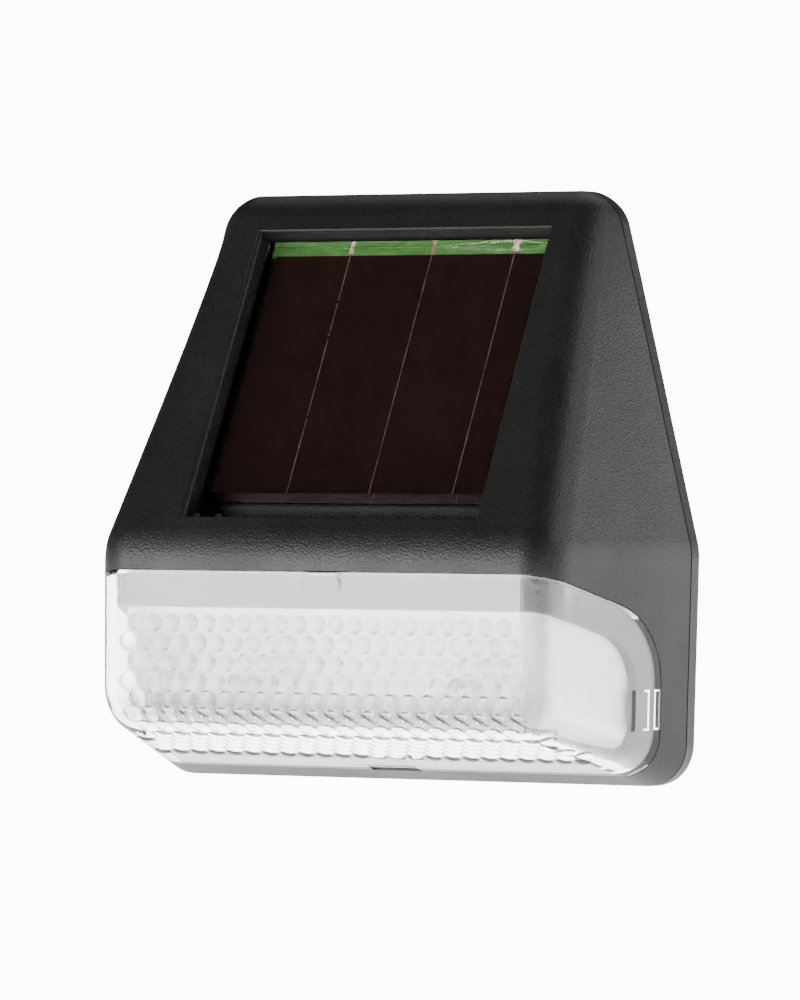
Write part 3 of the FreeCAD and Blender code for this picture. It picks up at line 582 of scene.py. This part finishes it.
class Finishes(Enum):
    """Every finish of the light."""

    SHELL = SparkedPlastic("shell_black")
    COVER = SparkedPlastic("cover_black", (0.012, 0.012, 0.0125), (0.030, 0.0295, 0.029))
    SLIDER = SparkedPlastic("slider_black", grain=3200.0)
    SEAL = SatinPlastic("seal_rubber", (0.004, 0.004, 0.004), (0.010, 0.010, 0.010), 0.7)
    # Clear lens with painted shade on its bumps.
    LENS = BumpedLens("lens_clear_painted_shade")
    WHITE = SatinPlastic("reflector_white", (0.82, 0.82, 0.81), (0.90, 0.90, 0.89), 0.3,
                         soft=0.15)
    PANEL = ClearMoulding("panel_glass", (0.96, 0.99, 0.97), 1.51, 0.0, 0.02, 0.000004)
    FILM = PanelFilm("panel_film")
    TRACE = PlatedMetal("film_trace", (0.10, 0.072, 0.052), (0.22, 0.165, 0.12), 0.35)
    BACKING = BackingPaint("backing_paint", 0.0336)
    FOAM = SatinPlastic("foam_pad", (0.05, 0.05, 0.05), (0.12, 0.12, 0.12), 0.9, 1500.0,
                        0.0002)
    SEALANT = ClearMoulding("sealant", (0.82, 0.83, 0.80), 1.41, 0.15, 0.35, 0.0001)
    SOLDER = PlatedMetal("solder", (0.55, 0.55, 0.56), (0.78, 0.78, 0.78), 0.2)
    BOARD = CircuitMask("board_mask")
    LAMP = LampEpoxy("lamp_epoxy", 0.0150)
    STEEL = PlatedMetal("screw_steel")
    LEG = PlatedMetal("tinned_leg", (0.6, 0.6, 0.6), (0.8, 0.8, 0.8), 0.22)
    CHIP = SatinPlastic("chip_epoxy", (0.010, 0.010, 0.010), (0.022, 0.022, 0.022), 0.55,
                        3000.0, 0.00003)
    FERRITE = SatinPlastic("choke_ferrite", (0.04, 0.035, 0.033), (0.08, 0.07, 0.066), 0.6,
                           2200.0, 0.00004)
    CAN = PlatedMetal("capacitor_can", (0.6, 0.6, 0.62), (0.8, 0.8, 0.82), 0.25)
    CERAMIC = SatinPlastic("resistor_ceramic", (0.02, 0.02, 0.02), (0.05, 0.05, 0.05), 0.35)
    SLEEVE = SatinPlastic("cell_sleeve", (0.02, 0.11, 0.05), (0.03, 0.17, 0.08), 0.25)
    HOLDER = SatinPlastic("holder_plastic", (0.015, 0.015, 0.015), (0.03, 0.03, 0.03), 0.5)
    CONTACT = PlatedMetal("contact_nickel", (0.6, 0.58, 0.54), (0.78, 0.76, 0.72), 0.22)
    RED_WIRE = Insulation("wire_red", (0.35, 0.015, 0.012), (0.50, 0.03, 0.02))
    BLACK_WIRE = Insulation("wire_black", (0.008, 0.008, 0.008), (0.02, 0.02, 0.02))


def dress(nodes: dict[str, Finishes]) -> None:
    """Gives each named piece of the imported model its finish.

    Args:
        nodes: Finish of each piece.
    """
    made = {}
    for node, finish in nodes.items():
        if finish not in made:
            made[finish] = finish.value.build()
        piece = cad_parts[node]
        piece.data.materials.clear()
        piece.data.materials.append(made[finish])
        LOG.info("dressed %s with %s", node, finish.value.name)


@dataclass
class Case:
    """Housing, back cover, seal and screws."""

    finishes: dict[str, Finishes] = field(default_factory=lambda: {
        "housing": Finishes.SHELL, "back_cover": Finishes.COVER,
        "cover_seal": Finishes.SEAL, "cover_screws": Finishes.STEEL})

    def build(self) -> None:
        """Dresses the case."""
        dress(self.finishes)


@dataclass
class LightEnd:
    """Lens cap, white tray and the two lamps."""

    finishes: dict[str, Finishes] = field(default_factory=lambda: {
        "lens": Finishes.LENS, "reflector": Finishes.WHITE, "led_left": Finishes.LAMP,
        "led_right": Finishes.LAMP, "led_legs": Finishes.LEG})

    def build(self) -> None:
        """Dresses the lower front."""
        dress(self.finishes)


@dataclass
class SolarPanel:
    """Glass, film and what holds them in the pocket."""

    finishes: dict[str, Finishes] = field(default_factory=lambda: {
        "solar_glass": Finishes.PANEL, "solar_cells": Finishes.FILM,
        "cell_scribes": Finishes.TRACE, "panel_backing": Finishes.BACKING,
        "panel_pad": Finishes.FOAM, "panel_sealant": Finishes.SEALANT,
        "panel_solder": Finishes.SOLDER})

    def build(self) -> None:
        """Dresses the panel."""
        dress(self.finishes)


@dataclass
class WindowRim:
    """Rounded inner edge of the window that the panel lies in."""

    slope_foot: tuple[float, float] = (-32.0 * MM, -8.9 * MM)
    slope_angle: float = math.atan2(27.2, 52.9)
    half_width: float = 25.2 * MM
    low: float = 4.95 * MM
    high: float = 53.3 * MM
    left: float = 0.8 * MM
    thin: float = 0.22 * MM
    round_depth: float = 0.5 * MM
    deep: float = 2.55 * MM
    side_draft: float = 0.0875
    top_draft: float = 0.115
    steps: int = 6
    crease: float = math.radians(40.0)
    behind: float = 0.05 * MM

    def build(self) -> None:
        """Sweeps the rounded edge round the window."""
        rings = []
        for step in range(self.steps + 1):
            turn = math.pi / 2 * step / self.steps
            rings.append(self._ring(math.sin(turn), self.round_depth * (1 - math.cos(turn))))
        rings.append(self._ring(1.0, self.deep))
        rings.append(self._ring(0.0, self.deep, self.behind))
        count = len(rings)
        points = [point for ring in rings for point in ring]
        faces = []
        for index in range(count):
            other = (index + 1) % count
            for corner in range(4):
                after = (corner + 1) % 4
                faces.append((index * 4 + corner, index * 4 + after,
                              other * 4 + after, other * 4 + corner))
        mesh = bpy.data.meshes.new("window_rim")
        mesh.from_pydata(points, [], faces)
        sheet = bmesh.new()
        sheet.from_mesh(mesh)
        bmesh.ops.recalc_face_normals(sheet, faces=sheet.faces)
        sheet.to_mesh(mesh)
        sheet.free()
        for face in mesh.polygons:
            face.use_smooth = True
        mesh.set_sharp_from_angle(angle=self.crease)
        rim = bpy.data.objects.new("window_rim", mesh)
        bpy.context.collection.objects.link(rim)
        rim.data.materials.append(Finishes.SHELL.value.build())
        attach(rim, "light")
        LOG.info("window_rim swept")

    def _ring(self, share: float, deep: float, outward: float = 0.0) -> list[Vector]:
        """Four corners of the rim at one depth.

        Args:
            share: How much of the rim's width the ring stands inside the window's edge.
            deep: Depth below the slanted face.
            outward: How far the ring is pushed into the window's wall.

        Returns:
            The corners, lower left first.
        """
        left = -self.half_width + deep * self.side_draft + share * self.left - outward
        right = self.half_width - deep * self.side_draft - share * self.thin + outward
        low = self.low + share * self.thin - outward
        high = self.high - deep * self.top_draft - share * self.thin + outward
        return [self._point(x, up, deep)
                for x, up in ((left, low), (right, low), (right, high), (left, high))]

    def _point(self, x: float, up: float, deep: float) -> Vector:
        """Point on the slanted face, deep below its surface."""
        lean, rise = math.sin(self.slope_angle), math.cos(self.slope_angle)
        foot_y, foot_z = self.slope_foot
        return Vector((x, foot_y + up * lean + deep * rise, foot_z + up * rise - deep * lean))


@dataclass
class Works:
    """Board, battery, switch and wires inside the case."""

    finishes: dict[str, Finishes] = field(default_factory=lambda: {
        "circuit_board": Finishes.BOARD, "board_screws": Finishes.STEEL,
        "controller_chip": Finishes.CHIP, "inductor": Finishes.FERRITE,
        "capacitor": Finishes.CAN, "resistor": Finishes.CERAMIC,
        "battery_cell": Finishes.SLEEVE, "battery_holder": Finishes.HOLDER,
        "battery_contact_plus": Finishes.CONTACT, "battery_contact_minus": Finishes.CONTACT,
        "switch_body": Finishes.HOLDER, "switch_slider": Finishes.SLIDER,
        "switch_pins": Finishes.LEG, "panel_wire_red": Finishes.RED_WIRE,
        "panel_wire_black": Finishes.BLACK_WIRE, "battery_wire_red": Finishes.RED_WIRE,
        "battery_wire_black": Finishes.BLACK_WIRE, "switch_wire": Finishes.RED_WIRE})

    def build(self) -> None:
        """Dresses the inner pieces."""
        dress(self.finishes)


@dataclass
class Studio:
    """Floor, lights, surroundings and camera."""

    floor_height: float = -0.0436
    floor_half: float = 3.0
    azimuth: float = math.radians(30.0)
    tilt: float = 0.0027180524
    roll: float = 0.0054419831
    distance: float = 1100.061 * MM
    focal_pixels: float = 7381.176
    picture_height: float = 1000.0
    sensor: float = 36.0
    near: float = 0.05
    far: float = 20.0
    aim_right: float = -4.0895 * MM
    aim_up: float = -1.8619 * MM
    backdrop_seen: float = 12.0
    backdrop_through: float = 6.5
    backdrop_low: float = math.radians(5.0)
    backdrop_high: float = math.radians(25.0)
    ceiling: float = 0.1
    behind_camera: float = 0.2
    behind_camera_edge: float = math.radians(38.0)
    room: float = 0.05

    def build(self) -> None:
        """Makes the whole studio."""
        self._floor()
        self._surroundings()
        self._lights()
        self._camera()

    def _floor(self) -> None:
        """Plain pale floor."""
        size = self.floor_half
        corners = [(-size, -size, 0), (size, -size, 0), (size, size, 0), (-size, size, 0)]
        mesh = bpy.data.meshes.new("floor")
        mesh.from_pydata(corners, [], [(0, 1, 2, 3)])
        floor = bpy.data.objects.new("floor", mesh)
        floor.location.z = self.floor_height
        bpy.context.collection.objects.link(floor)
        mesh.materials.append(GlowingFloor("floor_paint").build())
        LOG.info("floor laid")

    def _surroundings(self) -> None:
        """White backdrop that darkens overhead, and a dim room for reflections."""
        world = bpy.data.worlds.new("room")
        bpy.context.scene.world = world
        world.use_nodes = True
        tree = world.node_tree
        tree.nodes.clear()
        direction = tree.nodes.new("ShaderNodeSeparateXYZ")
        outward = tree.nodes.new("ShaderNodeTexCoord").outputs["Generated"]
        tree.links.new(outward, direction.inputs[0])
        fall = map_range(tree, direction.outputs["Z"], math.sin(self.backdrop_low),
                         math.sin(self.backdrop_high), self.backdrop_through, self.ceiling)
        to_camera = (math.sin(self.azimuth), -math.cos(self.azimuth), 0.0)
        shade = map_range(tree, dot(tree, outward, to_camera),
                          math.cos(self.behind_camera_edge), 1.0, 1.0, self.behind_camera)
        through = product(tree, fall, shade)
        light = tree.nodes.new("ShaderNodeBackground")
        light.inputs["Color"].default_value = (1.0, 1.0, 1.0, 1.0)
        tree.links.new(by_ray(tree, self.backdrop_seen, through, self.room),
                       light.inputs["Strength"])
        output = tree.nodes.new("ShaderNodeOutputWorld")
        tree.links.new(light.outputs[0], output.inputs["Surface"])

    def _lights(self) -> None:
        """Large soft lights at the left front, the right rear and above."""
        self._panel("left_front", -32.0, 4.0, 1.2, (0.75, 0.40), 12.0)
        self._panel("right_rear", 118.0, 4.0, 1.2, (0.9, 0.9), 10.0)
        self._panel("overhead", 180.0, 68.0, 1.3, (1.4, 0.7), 5.0)
        self._panel("right_high", 85.0, 38.0, 1.2, (0.5, 0.5), 3.0)

    def _panel(self, name: str, azimuth: float, elevation: float, distance: float,
               size: tuple[float, float], power: float) -> None:
        """One soft light that points at the object.

        Args:
            name: Name of the light.
            azimuth: Direction it stands in, in degrees, 0 in front and 90 on the right.
            elevation: Height above the horizon, in degrees.
            distance: Distance from the object, in metres.
            size: Width and height, in metres.
            power: Power in watts.
        """
        data = bpy.data.lights.new(name, "AREA")
        data.shape = "RECTANGLE"
        data.size, data.size_y = size
        data.energy = power
        light = bpy.data.objects.new(name, data)
        turn, lift = math.radians(azimuth), math.radians(elevation)
        away = Vector((math.sin(turn) * math.cos(lift), -math.cos(turn) * math.cos(lift),
                       math.sin(lift)))
        light.location = away * distance
        light.rotation_euler = away.to_track_quat("Z", "Y").to_euler()
        bpy.context.collection.objects.link(light)

    def _camera(self) -> None:
        """Camera at the photograph's viewing angle."""
        sin_a, cos_a = math.sin(self.azimuth), math.cos(self.azimuth)
        ahead = Vector((-sin_a * math.cos(self.tilt), cos_a * math.cos(self.tilt),
                        -math.sin(self.tilt)))
        right = Vector((cos_a, sin_a, 0.0))
        up = right.cross(ahead)
        rolled_right = right * math.cos(self.roll) + up * math.sin(self.roll)
        rolled_up = up * math.cos(self.roll) - right * math.sin(self.roll)
        target = right * self.aim_right + Vector((0.0, 0.0, self.aim_up))
        data = bpy.data.cameras.new("camera")
        data.sensor_width = self.sensor
        data.lens = self.sensor * self.focal_pixels / self.picture_height
        data.clip_start, data.clip_end = self.near, self.far
        camera = bpy.data.objects.new("camera", data)
        turn = Matrix((rolled_right, rolled_up, -ahead)).transposed().to_4x4()
        camera.matrix_world = Matrix.Translation(target - ahead * self.distance) @ turn
        bpy.context.collection.objects.link(camera)
        bpy.context.scene.camera = camera


def main() -> None:
    """Builds the light and the studio."""
    logging.basicConfig(level=logging.INFO, format="%(name)s: %(message)s")
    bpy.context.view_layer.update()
    for assembly in (Case(), LightEnd(), SolarPanel(), WindowRim(), Works(), Studio()):
        assembly.build()
        LOG.info("built %s", type(assembly).__name__)


if __name__ == "__main__":
    main()
